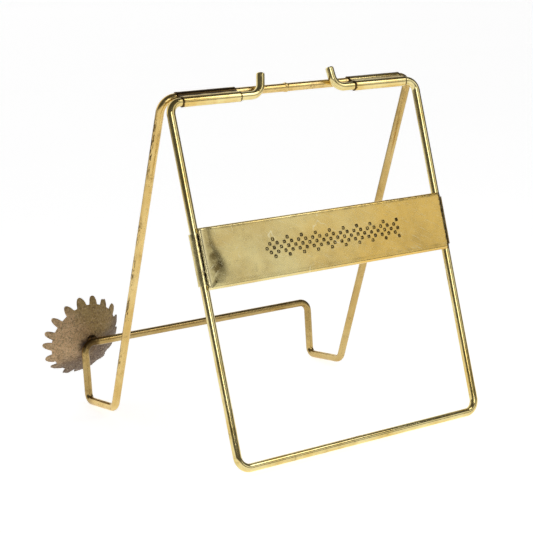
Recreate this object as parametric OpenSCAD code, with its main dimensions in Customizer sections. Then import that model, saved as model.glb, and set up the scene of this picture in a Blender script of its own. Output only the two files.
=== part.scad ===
// Hinged wire easel for a small album or a card.
// A bent wire front frame carries a folded plate; a bent wire bail swings behind it.
// Millimetres, +Z up, -Y front, origin at the bottom centre of the bounding box.

/* [Wire] */
// Diameter of the round wire of both frames
wire_d = 3.0; // [2.6:0.1:3.2]

/* [Front frame] */
// Half width of the front frame at its foot bar, wire centre to symmetry plane
front_foot_half = 52.0; // [48:0.5:56]
// Extra half width at the top of the front frame
front_flare = 0.8; // [0.2:0.1:1.2]
// Length of the slanted sides, corner to corner
front_side_len = 125.4; // [112:0.5:136]
// Backward lean of the front frame in degrees
front_lean = 15.5; // [12:0.5:20]
// Bend radius of the foot corners, wire centre
front_foot_bend = 4.5; // [3.5:0.5:6]
// Bend radius of the top corners, wire centre
front_top_bend = 4.0; // [3:0.25:4.5]
// Distance of the left prong's bend from the symmetry plane
left_prong_x = 16.0; // [14:0.5:19]
// Distance of the right prong's bend from the symmetry plane
right_prong_x = 16.2; // [14:0.5:19]
// Bend radius at the root of each prong
prong_bend = 4.6; // [4.6:0.1:5]
// Height of each prong tip above the top bar, along the slant
prong_rise = 7.6; // [7:0.1:10]
// Inward tilt of the left prong in degrees
left_prong_tilt = 12.2; // [6:0.2:14]
// Inward tilt of the right prong in degrees
right_prong_tilt = 6.5; // [6:0.5:14]
// Chamfer on the cut ends of the wire
end_chamfer = 0.35; // [0.2:0.05:0.5]

/* [Rear bail] */
// Half width of the bail, wire centre to symmetry plane
bail_half = 53.3; // [53:0.1:56]
// Distance between the top bars of the frame and the bail
hinge_pitch = 4.0; // [3.96:0.01:4.1]
// Rise of the line through both top bars above the horizontal, in degrees
hinge_rise = 19.5; // [16:0.5:21]
// Backward lean of the bail's legs in degrees
bail_lean = 22.4; // [18:0.2:28]
// Length of the feet
foot_len = 22.2; // [18:0.2:26]
// Downward slope of the feet toward their back end, in degrees
foot_slope = 4.9; // [2:0.1:6]
// Length of the risers at the back
riser_len = 22.8; // [18:0.2:27]
// Backward lean of the risers in degrees
riser_lean = 2.1; // [0.5:0.1:5]
// Bend radius of the bail's top corners
bail_top_bend = 5.0; // [4:0.25:5]
// Bend radius at the front end of each foot
toe_bend = 4.5; // [2.5:0.25:5]
// Bend radius at the back end of each foot
heel_bend = 2.75; // [2.25:0.25:3.5]
// Bend radius of the crossbar's corners
crossbar_bend = 4.0; // [3:0.25:5]
// Position of the brazed joint on the bail's top bar
joint_x = -3.0; // [-8:0.5:8]
// Length of the braze collar
braze_len = 2.4; // [1.6:0.1:4]
// Height of the braze above the wire
braze_rise = 0.35; // [0.2:0.05:0.5]

/* [Hinge sleeves] */
// Inner end of each sleeve, from the symmetry plane
sleeve_inner = 24.5; // [22:0.5:27]
// Outer end of each sleeve, from the symmetry plane
sleeve_outer = 48.0; // [44:0.5:48]
// Sheet thickness of the sleeves
sleeve_sheet = 0.35; // [0.3:0.05:0.5]
// Radial gap around the gripped front wire
grip_gap = 0.02; // [0.01:0.01:0.04]
// Radial gap around the turning bail wire
turn_gap = 0.05; // [0.03:0.01:0.09]
// Height of the waist between the two barrels
waist_h = 2.7; // [1.6:0.1:3.4]

/* [Nameplate] */
// Lower edge of the plate, along the slant
plate_low = 61.0; // [55:0.2:66]
// Height of the plate along the slant
plate_h = 21.2; // [16:0.2:26]
// Sheet thickness of the plate
plate_sheet = 0.5; // [0.4:0.05:0.7]
// Outer radius of the folded long edges
fold_r = 1.0; // [0.9:0.05:1.3]
// Depth of the folded flanges behind the plate
flange_depth = 2.2; // [1.6:0.1:3]
// Gap between the folded flanges and the side wires
flange_gap = 0.35; // [0.3:0.05:0.8]
// Step by which the face stands in front of the curled end tabs
plate_step = 0.9; // [0.8:0.05:1.2]
// Distance of the face's ends inside the side wires' centre lines
face_inset = 0.2; // [0.1:0.05:0.4]
// Notch between each end tab and the folded edges
tab_notch = 0.2; // [0.2:0.05:0.6]
// Angle by which the end tabs wrap the side wires, from the front to the back
curl_angle = 240; // [200:5:265]

/* [Toothed cap] */
// Number of teeth around the rim
tooth_n = 17; // [15:1:21]
// Turn of the ring of teeth about the dome's axis in degrees
tooth_turn = -4.5; // [-10:0.5:10]
// Radius over the tooth tips
tooth_tip_r = 17.6; // [16.6:0.1:18.2]
// Radius of the dome at the roots of the teeth
tooth_root_r = 15.2; // [14.4:0.1:15.8]
// Width of a tooth at its root
tooth_root_w = 3.9; // [3.2:0.1:4.2]
// Width of a tooth at its tip
tooth_tip_w = 2.3; // [1.8:0.1:2.8]
// Height of the dome from the root circle to the apex
dome_h = 5.2; // [4.4:0.1:6]
// Wall thickness of the dome
dome_wall = 0.9; // [0.7:0.05:1.3]
// Downward tilt of the dome's axis in degrees
cap_tilt = 19.4; // [12:0.2:24]
// Sideways turn of the dome's axis in degrees
cap_yaw = 6.2; // [0:0.2:10]
// Drop of the apex below the crossbar
cap_drop = 1.7; // [0:0.1:2.5]
// Gap between the dome and the wire, filled by the solder
cap_gap = 0.25; // [0.15:0.05:0.4]
// Radius of the solder bead between the dome and the wire
solder_r = 2.4; // [2.1:0.1:2.8]

/* [Hidden] */
$fn = 96;
wire_r = wire_d / 2;
// Facets of the fine sphere behind the solder
dome_fn = 240;
// How far bars run into their bends, and how much thinner the bends are drawn
seam = 0.1;
drawn = 0.01;
// Hair gap between a bead of solder or braze and the metal under it
skin_gap = 0.01;
front_top_half = front_foot_half + front_flare;
flare_angle = atan(front_flare / front_side_len);
left_end_z = prong_rise - end_chamfer * cos(left_prong_tilt);
left_end_x = left_prong_x - left_end_z * tan(left_prong_tilt);
right_end_z = prong_rise - end_chamfer * cos(right_prong_tilt);
right_end_x = right_prong_x - right_end_z * tan(right_prong_tilt);

top_y = front_side_len * sin(front_lean);
top_z = front_side_len * cos(front_lean);
hinge_y = top_y + hinge_pitch * cos(hinge_rise);
hinge_z = top_z + hinge_pitch * sin(hinge_rise);

// The lowest point of each heel bend stands level with the foot bar
heel_turn = 90 - riser_lean + foot_slope;
heel_set = heel_bend * tan(heel_turn / 2);
heel_z = heel_bend * (1 - cos(foot_slope)) - heel_set * sin(foot_slope);
toe_z = heel_z + foot_len * sin(foot_slope);
leg_len = (hinge_z - toe_z) / cos(bail_lean);
toe_y = hinge_y + leg_len * sin(bail_lean);
heel_y = toe_y + foot_len * cos(foot_slope);
crossbar_y = heel_y + riser_len * sin(riser_lean);
crossbar_z = heel_z + riser_len * cos(riser_lean);

// Wire centre line of the front frame, in the slanted plane
front_path = [
  [-left_end_x, 0, front_side_len + left_end_z],
  [-left_prong_x, 0, front_side_len],
  [-front_top_half, 0, front_side_len],
  [-front_foot_half, 0, 0],
  [front_foot_half, 0, 0],
  [front_top_half, 0, front_side_len],
  [right_prong_x, 0, front_side_len],
  [right_end_x, 0, front_side_len + right_end_z]
];
front_bends = [0, prong_bend, front_top_bend, front_foot_bend,
               front_foot_bend, front_top_bend, prong_bend, 0];

// Wire centre line of the bail, a closed loop
bail_path = [
  [-bail_half, hinge_y, hinge_z],
  [-bail_half, toe_y, toe_z],
  [-bail_half, heel_y, heel_z],
  [-bail_half, crossbar_y, crossbar_z],
  [bail_half, crossbar_y, crossbar_z],
  [bail_half, heel_y, heel_z],
  [bail_half, toe_y, toe_z],
  [bail_half, hinge_y, hinge_z]
];
bail_bends = [bail_top_bend, toe_bend, heel_bend, crossbar_bend,
              crossbar_bend, heel_bend, toe_bend, bail_top_bend];

// Plate section, measured from the plane through the side wires
curl_r = wire_r + grip_gap;
curl_sheet = plate_sheet + 2 * drawn;
plate_front = curl_r + plate_sheet + plate_step;
plate_mid = plate_low + plate_h / 2;
half_flat = plate_h / 2 - fold_r;
tab_h = 2 * (half_flat - tab_notch);
mid_half = front_foot_half + front_flare * plate_mid / front_side_len;
face_half = mid_half - face_inset;
flange_half = mid_half - wire_r - grip_gap - flange_gap;
// The curl starts just past the inner face of the step
curl_start = 90 + asin((face_inset + plate_sheet + seam) / curl_r);

// Dome of the toothed cap: part of a sphere whose centre lies behind the crossbar
dome_r = (tooth_root_r * tooth_root_r + dome_h * dome_h) / (2 * dome_h);
cap_axis = [sin(cap_yaw) * cos(cap_tilt), -cos(cap_yaw) * cos(cap_tilt), -sin(cap_tilt)];
cap_right = [cos(cap_yaw), sin(cap_yaw), 0];
cap_up = cross(cap_axis, cap_right);
crossbar_start = [-bail_half + crossbar_bend, crossbar_y, crossbar_z];
dome_reach = (dome_r + wire_r + cap_gap) / sqrt(1 - cap_axis[0] * cap_axis[0]);
dome_back = sqrt(dome_reach * dome_reach - cap_drop * cap_drop);
dome_centre = crossbar_start - dome_back * cap_axis - cap_drop * cap_up;
solder_at = crossbar_start + (dome_centre - crossbar_start) * (wire_r + cap_gap / 2) / dome_reach;

// Bounding box of the whole stand, which places the origin
rim_back = dome_centre + cap_axis * sqrt((dome_r - dome_wall) * (dome_r - dome_wall)
                                         - tooth_tip_r * tooth_tip_r);
tip_centre_r = tooth_tip_r - tooth_tip_w / 2;
tooth_turns = [for (i = [0:tooth_n - 1]) tooth_turn + i * 360 / tooth_n];
left_tip = min([for (a = tooth_turns) tip_centre_r * (cap_right[0] * cos(a) + cap_up[0] * sin(a))]);
left_end = rim_back[0] + left_tip - tooth_tip_w / 2 * sqrt(1 - cap_axis[0] * cap_axis[0]);
right_end = bail_half + wire_r;
front_end = -wire_r;
back_end = rim_back[1] + tooth_tip_r * sqrt(1 - cap_axis[1] * cap_axis[1]);
shift_x = -(left_end + right_end) / 2;
shift_y = -(front_end + back_end) / 2;

function unit(v) = v / norm(v);
function turn(a, b, c) = acos(unit(b - a) * unit(c - b));
function setback(a, b, c, r) = r * tan(turn(a, b, c) / 2);

// Straight round bar between two points
module bar(p, q, r) {
  d = q - p;
  translate(p)
    rotate([0, acos(d[2] / norm(d)), atan2(d[1], d[0])])
      cylinder(h = norm(d), r = r);
}

// Round bend of radius bend_r at corner b of the line a-b-c
module bend(a, b, c, bend_r, r) {
  back = unit(a - b);
  ahead = unit(c - b);
  angle = turn(a, b, c);
  centre = b + unit(back + ahead) * bend_r / cos(angle / 2);
  start = b + back * setback(a, b, c, bend_r);
  ex = unit(start - centre);
  ey = -back;
  ez = cross(ex, ey);
  multmatrix([
    [ex[0], ey[0], ez[0], centre[0]],
    [ex[1], ey[1], ez[1], centre[1]],
    [ex[2], ey[2], ez[2], centre[2]],
    [0, 0, 0, 1]
  ])
    rotate_extrude(angle = angle)
      translate([bend_r, 0])
        circle(r = r);
}

// Wire along a path of corners; bends[i] is the bend radius at corner i, 0 at a free end.
// Bends are drawn down a hair, and each bar runs a hair into them, so the pieces fuse cleanly.
module bent_wire(path, bends, r, closed = false) {
  n = len(path);
  last = closed ? n - 1 : n - 2;
  union() {
    for (i = [0:last]) {
      p = path[i];
      q = path[(i + 1) % n];
      along = unit(q - p);
      cut_p = bends[i] == 0 ? 0 : setback(path[(i + n - 1) % n], p, q, bends[i]) - seam;
      cut_q = bends[(i + 1) % n] == 0
        ? 0
        : setback(p, q, path[(i + 2) % n], bends[(i + 1) % n]) - seam;
      bar(p + along * cut_p, q - along * cut_q, r);
    }
    for (i = [0:n - 1]) {
      if (bends[i] > 0) {
        bend(path[(i + n - 1) % n], path[i], path[(i + 1) % n], bends[i], r - drawn);
      }
    }
  }
}

// From the stand's own axes to the origin at the bottom centre
module placed() {
  translate([shift_x, shift_y, wire_r])
    children();
}

// The plane of the front frame: local Z runs up the slant, local -Y faces the front
module in_front_plane() {
  rotate([-front_lean, 0, 0])
    children();
}

// Bevelled tip of a prong whose straight part ends at [x, z] above the top bar
module prong_tip(x, z, turn) {
  translate([x, 0, front_side_len + z])
    rotate([0, turn, 0])
      translate([0, 0, -seam])
        cylinder(h = seam + end_chamfer, r1 = wire_r - drawn, r2 = wire_r - end_chamfer);
}

module front_frame() {
  color("goldenrod")
    placed()
      in_front_plane()
        union() {
          bent_wire(front_path, front_bends, wire_r);
          prong_tip(-left_end_x, left_end_z, left_prong_tilt);
          prong_tip(right_end_x, right_end_z, -right_prong_tilt);
        }
}

module rear_bail() {
  color("darkgoldenrod")
    placed()
      bent_wire(bail_path, bail_bends, wire_r, closed = true);
}

// Raised collar of braze over the butt joint of the bail
module bail_braze() {
  inner = wire_r + skin_gap;
  edge = inner + braze_rise / 3;
  crown = inner + braze_rise;
  color("gold")
    placed()
      translate([joint_x, hinge_y, hinge_z])
        rotate([0, 90, 0])
          rotate_extrude()
            polygon([
              [inner, -braze_len / 2],
              [edge, -braze_len / 2],
              [crown, -braze_len / 6],
              [crown, braze_len / 6],
              [edge, braze_len / 2],
              [inner, braze_len / 2]
            ]);
}

// Sheet sleeve around both top bars, from x = 0 to x = length
module hinge_sleeve(length) {
  grip_r = wire_r + grip_gap;
  turn_r = wire_r + turn_gap;
  translate([0, top_y, top_z])
    rotate([hinge_rise, 0, 0])
      rotate([0, 90, 0])
        difference() {
          union() {
            cylinder(h = length, r = grip_r + sleeve_sheet);
            translate([0, hinge_pitch, 0])
              cylinder(h = length, r = turn_r + sleeve_sheet);
            translate([-waist_h / 2, 0, 0])
              cube([waist_h, hinge_pitch, length]);
          }
          translate([0, 0, -1])
            cylinder(h = length + 2, r = grip_r);
          translate([0, hinge_pitch, -1])
            cylinder(h = length + 2, r = turn_r);
        }
}

module left_hinge_sleeve() {
  color("khaki")
    placed()
      translate([-sleeve_outer, 0, 0])
        hinge_sleeve(sleeve_outer - sleeve_inner);
}

module right_hinge_sleeve() {
  color("khaki")
    placed()
      translate([sleeve_inner, 0, 0])
        hinge_sleeve(sleeve_outer - sleeve_inner);
}

// Quarter-round fold along the plate, from its front face to its upper edge
module plate_fold() {
  rotate([0, 90, 0])
    rotate([0, 0, 180])
      rotate_extrude(angle = 90)
        translate([fold_r - plate_sheet, 0])
          square([plate_sheet, 2 * face_half]);
}

// Face, folds and flanges of the plate, built about its middle height
module plate_body() {
  translate([-face_half, -plate_front, -half_flat])
    cube([2 * face_half, plate_sheet, 2 * half_flat]);
  for (side = [0, 1]) {
    mirror([0, 0, side]) {
      translate([-face_half, -plate_front + fold_r, half_flat])
        plate_fold();
      translate([-flange_half, -plate_front + fold_r, plate_h / 2 - plate_sheet])
        cube([2 * flange_half, flange_depth - fold_r, plate_sheet]);
    }
  }
}

// Step at the end of the plate, from its face back to the curl
module plate_step_wall() {
  step_h = tab_h - 2 * tab_notch;
  translate([face_half - plate_sheet, -plate_front, -step_h / 2])
    cube([plate_sheet, plate_front - curl_r, step_h]);
}

// Tab curled around a side wire, from its front round the outside to its back
module plate_curl() {
  rotate([0, 0, -curl_start])
    rotate_extrude(angle = curl_angle + curl_start - 90)
      translate([curl_r, -tab_h / 2])
        square([curl_sheet, tab_h]);
}

module nameplate() {
  color("gold")
    placed()
      in_front_plane()
        translate([0, 0, plate_mid])
          union() {
            plate_body();
            for (side = [0, 1]) {
              mirror([side, 0, 0]) {
                plate_step_wall();
                translate([mid_half, 0, 0])
                  rotate([0, flare_angle, 0])
                    plate_curl();
              }
            }
          }
}

// Outline of the toothed cap, looking along its axis
module cap_outline() {
  circle(r = tooth_root_r);
  for (a = tooth_turns) {
    rotate(a) {
      polygon([
        [tooth_root_r - tooth_root_w / 2, -tooth_root_w / 2],
        [tooth_root_r, -tooth_root_w / 2],
        [tip_centre_r, -tooth_tip_w / 2],
        [tip_centre_r, tooth_tip_w / 2],
        [tooth_root_r, tooth_root_w / 2],
        [tooth_root_r - tooth_root_w / 2, tooth_root_w / 2]
      ]);
      translate([tip_centre_r, 0])
        circle(r = tooth_tip_w / 2);
    }
  }
}

// The dome's own axes: local Z runs along its axis, the origin is the sphere's centre
module in_cap_axes() {
  multmatrix([
    [cap_right[0], cap_up[0], cap_axis[0], dome_centre[0]],
    [cap_right[1], cap_up[1], cap_axis[1], dome_centre[1]],
    [cap_right[2], cap_up[2], cap_axis[2], dome_centre[2]],
    [0, 0, 0, 1]
  ])
    children();
}

module toothed_cap() {
  color("peru")
    placed()
      in_cap_axes()
        intersection() {
          difference() {
            sphere(r = dome_r);
            sphere(r = dome_r - dome_wall);
          }
          linear_extrude(height = dome_r + 1)
            cap_outline();
        }
}

// Bead of solder between the dome and the corner of the crossbar
module cap_solder() {
  color("silver")
    placed()
      difference() {
        translate(solder_at)
          sphere(r = solder_r);
        translate(dome_centre)
          sphere(r = dome_r + skin_gap, $fn = dome_fn);
        bent_wire(
          [bail_path[2], bail_path[3], bail_path[4]],
          [0, crossbar_bend, 0],
          wire_r + skin_gap
        );
      }
}

front_frame();
rear_bail();
bail_braze();
left_hinge_sleeve();
right_hinge_sleeve();
nameplate();
toothed_cap();
cap_solder();
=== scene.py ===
"""Looks of the hinged wire easel: aged brass wire, a punched plate and a toothed bronze cap.

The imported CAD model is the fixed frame. The two hinge sleeves keep their CAD shapes and get a
material. The two bent wires are swept again here as smooth tubes, and the plate, the cap, the
braze and the solder are finer meshes: all six stand for their CAD nodes.
Lengths in the constants are millimetres, and angles are degrees.
"""

import math
import random

import bpy
from mathutils import Matrix, Vector, noise


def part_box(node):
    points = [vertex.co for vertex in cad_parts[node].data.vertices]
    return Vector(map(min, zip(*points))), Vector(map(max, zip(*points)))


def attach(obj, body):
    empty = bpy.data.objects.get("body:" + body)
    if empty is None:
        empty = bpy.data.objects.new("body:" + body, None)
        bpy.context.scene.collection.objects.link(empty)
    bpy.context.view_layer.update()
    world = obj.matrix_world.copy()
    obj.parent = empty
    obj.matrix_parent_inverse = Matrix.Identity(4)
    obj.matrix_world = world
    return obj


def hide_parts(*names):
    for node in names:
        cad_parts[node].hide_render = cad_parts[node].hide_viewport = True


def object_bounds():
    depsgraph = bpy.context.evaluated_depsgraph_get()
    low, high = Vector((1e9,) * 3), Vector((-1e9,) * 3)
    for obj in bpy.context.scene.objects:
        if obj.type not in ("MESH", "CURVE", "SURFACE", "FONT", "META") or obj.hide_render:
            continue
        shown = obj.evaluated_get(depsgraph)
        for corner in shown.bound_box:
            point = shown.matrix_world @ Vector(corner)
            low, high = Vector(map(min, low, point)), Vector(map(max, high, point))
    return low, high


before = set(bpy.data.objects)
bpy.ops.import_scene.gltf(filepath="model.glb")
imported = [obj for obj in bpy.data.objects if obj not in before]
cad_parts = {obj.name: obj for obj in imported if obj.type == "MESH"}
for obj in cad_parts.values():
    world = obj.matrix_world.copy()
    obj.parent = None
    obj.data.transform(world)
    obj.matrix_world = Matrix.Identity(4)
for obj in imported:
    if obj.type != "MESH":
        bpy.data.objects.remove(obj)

CAD_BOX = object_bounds()
MM = 0.001

# Camera: turn about the stand, height angle, roll, and distance to the aim point
CAMERA_AZIMUTH = -32.967
CAMERA_ELEVATION = 11.511
CAMERA_ROLL = -2.310
CAMERA_DISTANCE = 550.7
CAMERA_AIM = (5.25, -5.7, -9.7)
CAMERA_LENS = 98.58

# Stage: glow of the floor near and far as the metal sees it, and as the camera sees it
FLOOR_GLOW = 0.72
FLOOR_FAR = 0.12
FLOOR_SEEN = 0.76

# Stage: brightness of the walls in front, behind and overhead, as the metal sees them
SKY_FRONT = 0.10
SKY_BACK = 1.10
SKY_TOP = 0.08

# Lights, in metres: how far off the two large ones stand, and where the small one is
LIGHT_DISTANCE = 1.2
STRIP_AT = (0.142, -0.164, 0.287)
TOP_BAR_FORWARD = 0.026

# Wire and hinge
WIRE_R = 1.5
FRONT_LEAN = 15.5
BAIL_LEAN = -22.4
FACET_ROUNDING = 0.4
HINGE_RISE = 19.5
WIRE_FACETS = 40
WIRE_STEP = 4.0
END_CHAMFER = 0.35
BAR_REACH = 49.0

# Front wire, in its slanted plane: half widths, side length, each prong's place and tilt,
# and the bend radii from the left prong's end round to the right one's
FOOT_HALF = 52.0
TOP_HALF = 52.8
SIDE_LEN = 125.4
LEFT_PRONG = (16.0, 12.2)
RIGHT_PRONG = (16.2, 6.5)
PRONG_RISE = 7.6
FRONT_BENDS = (0, 4.6, 4.0, 4.5, 4.5, 4.0, 4.6, 0)

# Bail: feet and risers behind the legs, and bend radii round the loop
FOOT_LEN = 22.2
FOOT_SLOPE = 4.9
RISER_LEN = 22.8
RISER_LEAN = 2.1
BAIL_BENDS = (5.0, 4.5, 2.75, 4.0, 4.0, 2.75, 4.5, 5.0)

# Plate, in its own axes: X along it, Y depth with the front at -Y, Z up the slant
PLATE_MID = 71.6
PLATE_HALF_H = 10.6
PLATE_SHEET = 0.5
PLATE_FRONT = 2.92
PLATE_FOLD_R = 1.0
PLATE_FLANGE = 2.2
PLATE_FACE_HALF = 52.257
PLATE_FLANGE_HALF = 50.587
PLATE_TAB_HALF = 9.4
PLATE_END_R = 0.35
CURL_R = 1.52
CURL_GAP = 0.2
CURL_END = 150.0
FLARE = 0.00638

# Row of ring punches on the plate
PUNCH_PITCH = 1.5
PUNCH_ROWS = 5
PUNCH_COLUMNS = 39
PUNCH_FROM = -27.0
PUNCH_STEPS = 6
PUNCH_LOOPS = ((0.69, 0.0), (0.63, 0.03), (0.56, -0.08), (0.46, -0.20), (0.36, -0.08), (0.28, 0.02))

# Toothed cap: part of a sphere behind the left end of the crossbar
DOME_R = 24.815
DOME_WALL = 0.9
CAP_TILT = 19.4
CAP_YAW = 6.2
CAP_DROP = 1.7
CAP_GAP = 0.25
CROSSBAR_BEND = 4.0
CROSSBAR_Z = 24.048
DOME_RINGS = 26
PLAIN_SHARE = 0.7
TOOTH_N = 17
TOOTH_STEPS = 24
TOOTH_TURN = -4.5
TOOTH_ROOT_R = 15.2
TOOTH_TIP_R = 17.6
TOOTH_FOOT = 1.6

# Where the dome is darkened by the painted shadow of the wire corner and by scorch, seen along its axis
SCORCH_AND_SHADOW_AT = (-1.3, -0.3)


# ---------------------------------------------------------------- mesh helpers

class Draft:
    """A mesh being drawn: its vertices, its faces, and the named tones of each vertex."""

    def __init__(self, *names):
        self.verts, self.faces = [], []
        self.tones = {name: [] for name in names}

    def vertex(self, point, **tones):
        """Adds a vertex and gives its number; a tone that isn't given is 0."""
        self.verts.append(point)
        for name, values in self.tones.items():
            values.append(tones.get(name, 0.0))
        return len(self.verts) - 1


def make_mesh(name, verts, faces, layers=None, smooth=True):
    """New object from vertices in metres; layers maps attribute names to one value per vertex."""
    mesh = bpy.data.meshes.new(name)
    mesh.from_pydata([tuple(v) for v in verts], [], faces)
    mesh.validate()
    for layer, values in (layers or {}).items():
        attribute = mesh.attributes.new(layer, "FLOAT", "POINT")
        attribute.data.foreach_set("value", values)
    mesh.polygons.foreach_set("use_smooth", [smooth] * len(mesh.polygons))
    mesh.update()
    piece = bpy.data.objects.new(name, mesh)
    bpy.context.scene.collection.objects.link(piece)
    return piece


def smoothstep(a, b, x):
    """0 at a, 1 at b, and smooth between them."""
    t = min(max((x - a) / (b - a), 0.0), 1.0)
    return t * t * (3.0 - 2.0 * t)


def bell(x, centre, width):
    """1 at the centre, falling away smoothly on both sides."""
    return math.exp(-((x - centre) / width) ** 2)


def wobble(x, y, z, size):
    """Smooth noise between about -1 and 1 with features of the given size in millimetres."""
    return noise.noise(Vector((x, y, z)) / size)


def spread(a, b, step):
    """Evenly spaced values from a to b, both ends included."""
    n = max(1, math.ceil((b - a) / step - 1e-6))
    return [a + (b - a) * i / n for i in range(n + 1)]


def stand_in(piece, body, node):
    """Puts a finished piece on its body, in place of its CAD node."""
    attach(piece, body)
    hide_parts(node)
    return piece


def sharpen(piece, angle):
    """Keeps edges sharper than the angle crisp under smooth shading."""
    piece.data.set_sharp_from_angle(angle=math.radians(angle))


# ---------------------------------------------------------------- places

def front_foot():
    """Centre of the foot bar of the front frame, in millimetres."""
    low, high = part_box("front_frame")
    return Vector(((low.x + high.x) / 2, low.y + WIRE_R * MM, low.z + WIRE_R * MM)) / MM


def plate_matrix():
    """From the plate's own axes in millimetres to the stand's axes in metres."""
    lean = Matrix.Rotation(math.radians(-FRONT_LEAN), 4, "X")
    place = Matrix.Translation(front_foot())
    return Matrix.Scale(MM, 4) @ place @ lean @ Matrix.Translation((0, 0, PLATE_MID))


def cap_matrix():
    """From the dome's own axes in millimetres, Z along its axis, to the stand's axes in metres."""
    yaw, tilt = math.radians(CAP_YAW), math.radians(CAP_TILT)
    low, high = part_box("rear_bail")
    axis = Vector((math.sin(yaw) * math.cos(tilt), -math.cos(yaw) * math.cos(tilt), -math.sin(tilt)))
    right = Vector((math.cos(yaw), math.sin(yaw), 0))
    up = axis.cross(right)
    corner = Vector((low.x / MM + WIRE_R + CROSSBAR_BEND, high.y / MM - WIRE_R, CROSSBAR_Z))
    reach = (DOME_R + WIRE_R + CAP_GAP) / math.sqrt(1 - axis.x ** 2)
    back = math.sqrt(reach ** 2 - CAP_DROP ** 2)
    centre = corner - back * axis - CAP_DROP * up
    turn = Matrix((right, up, axis)).transposed().to_4x4()
    return Matrix.Scale(MM, 4) @ Matrix.Translation(centre) @ turn


# ---------------------------------------------------------------- bent wires

def corner_arc(a, b, c, radius):
    """Points round the bend at corner b, from the line a-b to the line b-c."""
    back, ahead = (a - b).normalized(), (c - b).normalized()
    half = math.acos(-back.dot(ahead)) / 2
    centre = b + (back + ahead).normalized() * radius / math.cos(half)
    out = (b + back * radius * math.tan(half) - centre).normalized()
    turns = spread(0, 2 * half, math.radians(5))
    return [centre + radius * (math.cos(t) * out - math.sin(t) * back) for t in turns]


def wire_line(corners, bends, closed):
    """Points along the centre line of a wire bent at its corners, close enough for smooth tubes."""
    count = len(corners)
    line = []
    for i, corner in enumerate(corners):
        beyond = corners[(i + 1) % count]
        line += corner_arc(corners[i - 1], corner, beyond, bends[i]) if bends[i] else [corner]
    if closed:
        line.append(line[0])
    points = []
    for p, q in zip(line, line[1:]):
        steps = max(1, round((q - p).length / WIRE_STEP))
        points += [p.lerp(q, k / steps) for k in range(steps)]
    return points if closed else points + [line[-1]]


def wire_rings(points, radii, closed):
    """Rings of vertices across the wire, carried along it without twisting."""
    count = len(points)
    rings = []
    for i, point in enumerate(points):
        before = points[i - 1] if closed or i else point
        after = points[(i + 1) % count] if closed or i < count - 1 else point
        heading = (after - before).normalized()
        side = heading.orthogonal() if i == 0 else side
        side = (side - heading * side.dot(heading)).normalized()
        up = heading.cross(side)
        turns = [2 * math.pi * k / WIRE_FACETS for k in range(WIRE_FACETS)]
        rings.append([point + radii[i] * (math.cos(t) * side + math.sin(t) * up) for t in turns])
    return rings


def build_wire(name, node, body, place, points, radii, closed):
    """A smooth round tube through the points that stands for a CAD wire."""
    rings = wire_rings(points, radii, closed)
    n = WIRE_FACETS
    faces = []
    for i in range(len(rings) - 1):
        for k in range(n):
            m = (k + 1) % n
            faces.append([i * n + k, i * n + m, (i + 1) * n + m, (i + 1) * n + k])
    last = (len(rings) - 1) * n
    if closed:
        shift = min(range(n), key=lambda k: (rings[0][k] - rings[-1][0]).length)
        for k in range(n):
            a, b = (k + shift) % n, (k + 1 + shift) % n
            faces.append([last + k, last + (k + 1) % n, b, a])
    else:
        faces += [list(range(n))[::-1], list(range(last, last + n))]
    wire = make_mesh(name, [place @ v for ring in rings for v in ring], faces)
    sharpen(wire, 35)
    return stand_in(wire, body, node)


def prong_end(side, root, tilt):
    """End of a prong's straight part, and its direction."""
    turn = math.radians(tilt)
    rise = PRONG_RISE - END_CHAMFER * math.cos(turn)
    tip = Vector((side * (root - rise * math.tan(turn)), 0, SIDE_LEN + rise))
    return tip, Vector((-side * math.sin(turn), 0, math.cos(turn)))


def build_front_wire():
    """The front frame: prong, top bar, side, foot bar, side, top bar, prong."""
    left, left_way = prong_end(-1, *LEFT_PRONG)
    right, right_way = prong_end(1, *RIGHT_PRONG)
    corners = [left, Vector((-LEFT_PRONG[0], 0, SIDE_LEN)), Vector((-TOP_HALF, 0, SIDE_LEN)),
               Vector((-FOOT_HALF, 0, 0)), Vector((FOOT_HALF, 0, 0)), Vector((TOP_HALF, 0, SIDE_LEN)),
               Vector((RIGHT_PRONG[0], 0, SIDE_LEN)), right]
    points = wire_line(corners, FRONT_BENDS, False)
    points = [left + left_way * END_CHAMFER] + points + [right + right_way * END_CHAMFER]
    radii = [WIRE_R] * len(points)
    radii[0] = radii[-1] = WIRE_R - END_CHAMFER
    lean = Matrix.Rotation(math.radians(-FRONT_LEAN), 4, "X")
    place = Matrix.Scale(MM, 4) @ Matrix.Translation(front_foot()) @ lean
    return build_wire("front_wire", "front_frame", "front", place, points, radii, False)


def build_bail_wire():
    """The rear bail: a closed loop from the left hinge corner down, across the back and up."""
    low, high = (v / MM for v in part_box("rear_bail"))
    left, right = low.x + WIRE_R, high.x - WIRE_R
    slope, lean = math.radians(FOOT_SLOPE), math.radians(RISER_LEAN)
    crossbar = Vector((0, high.y - WIRE_R, CROSSBAR_Z))
    heel = crossbar - RISER_LEN * Vector((0, math.sin(lean), math.cos(lean)))
    toe = heel + FOOT_LEN * Vector((0, -math.cos(slope), math.sin(slope)))
    hinge = Vector((0, low.y + WIRE_R, high.z - WIRE_R))
    profile = [hinge, toe, heel, crossbar]
    corners = [Vector((left, p.y, p.z)) for p in profile]
    corners += [Vector((right, p.y, p.z)) for p in reversed(profile)]
    points = wire_line(corners, BAIL_BENDS, True)
    radii = [WIRE_R] * len(points)
    place = Matrix.Scale(MM, 4)
    return build_wire("bail_wire", "rear_bail", "bail", place, points, radii, True)


# ---------------------------------------------------------------- plate

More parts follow.
